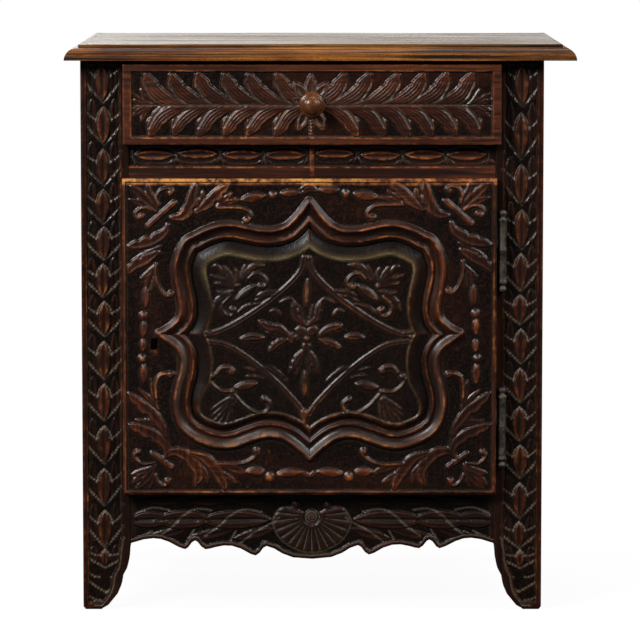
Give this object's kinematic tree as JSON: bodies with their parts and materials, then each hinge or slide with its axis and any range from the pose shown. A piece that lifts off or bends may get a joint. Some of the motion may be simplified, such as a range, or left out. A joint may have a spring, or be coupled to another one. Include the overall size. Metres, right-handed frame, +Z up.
{
  "type": "carved jam cabinet",
  "caption": "Low oak cupboard on shaped feet, with a carved drawer over a carved, cusped and moulded door and a scalloped apron.",
  "frame": {"origin": "on the floor, midway along the width and the depth of the whole cabinet", "axes": "+Z up, -Y out of the front, +X to the right seen from the front"},
  "size_m": [0.7928, 0.5332, 0.889],
  "materials": {
    "top_oak": "dark waxed oak, worn on the edges, satin",
    "case_oak": "dark waxed oak, dusty in the carving, satin",
    "door_oak": "dark waxed carved oak, worn orange-brown on the crests",
    "drawer_oak": "dark waxed carved oak, worn on the border",
    "inner_oak": "dry unfinished oak, planed, matte",
    "back_oak": "rough sawn oak, grey-brown, matte",
    "knob_wood": "turned hardwood, polished by hand",
    "peg_oak": "cleft oak pegs, end grain",
    "hinge_iron": "wrought iron, dark brown, paler on the finials",
    "lock_iron": "old filed iron, dull"
  },
  "bodies": {
    "root": {"top_plank_front": "top_oak", "top_plank_middle": "top_oak", "top_plank_rear": "top_oak", "post_front_left": "case_oak", "post_front_right": "case_oak", "post_rear_left": "case_oak", "post_rear_right": "case_oak", "front_rail_top": "case_oak", "front_rail_middle": "case_oak", "apron": "case_oak", "side_rail_upper_left": "case_oak", "side_rail_lower_left": "case_oak", "side_panel_left": "case_oak", "side_rail_upper_right": "case_oak", "side_rail_lower_right": "case_oak", "side_panel_right": "case_oak", "floor_board_front": "inner_oak", "floor_board_rear": "inner_oak", "shelf": "inner_oak", "floor_bearer_left": "inner_oak", "shelf_cleat_left": "inner_oak", "drawer_runner_left": "inner_oak", "drawer_guide_left": "inner_oak", "drawer_kicker_left": "inner_oak", "floor_bearer_right": "inner_oak", "shelf_cleat_right": "inner_oak", "drawer_runner_right": "inner_oak", "drawer_guide_right": "inner_oak", "drawer_kicker_right": "inner_oak", "back_rail_top": "back_oak", "back_rail_middle": "back_oak", "back_rail_bottom": "back_oak", "back_board_left": "back_oak", "back_board_middle": "back_oak", "back_board_right": "back_oak", "joint_pegs": "peg_oak", "hinge_upper_post_half": "hinge_iron", "hinge_lower_post_half": "hinge_iron", "hinge_upper_pin": "hinge_iron", "hinge_lower_pin": "hinge_iron"},
    "door": {"door_stile_lock": "door_oak", "door_stile_hinge": "door_oak", "door_rail_top": "door_oak", "door_rail_bottom": "door_oak", "door_panel": "door_oak", "hinge_upper_door_half": "hinge_iron", "hinge_lower_door_half": "hinge_iron", "lock_case": "lock_iron"},
    "lock_bolt": {"lock_bolt": "lock_iron"},
    "drawer": {"drawer_front": "drawer_oak", "drawer_side_left": "inner_oak", "drawer_side_right": "inner_oak", "drawer_back": "inner_oak", "drawer_bottom": "inner_oak", "drawer_knob": "knob_wood"}
  },
  "joints": [
    {"name": "drawer_slide", "type": "slide", "parent": "root", "child": "drawer", "axis": [0, -1, 0], "range_m": [0, 0.33]},
    {"name": "door_hinge", "type": "hinge", "parent": "root", "child": "door", "pos_m": [0.2831, -0.22135, 0.4285], "axis": [0, 0, 1], "range_deg": [0, 115]},
    {"name": "lock_bolt_slide", "type": "slide", "parent": "door", "child": "lock_bolt", "axis": [-1, 0, 0], "range_m": [0, 0.01]}
  ]
}
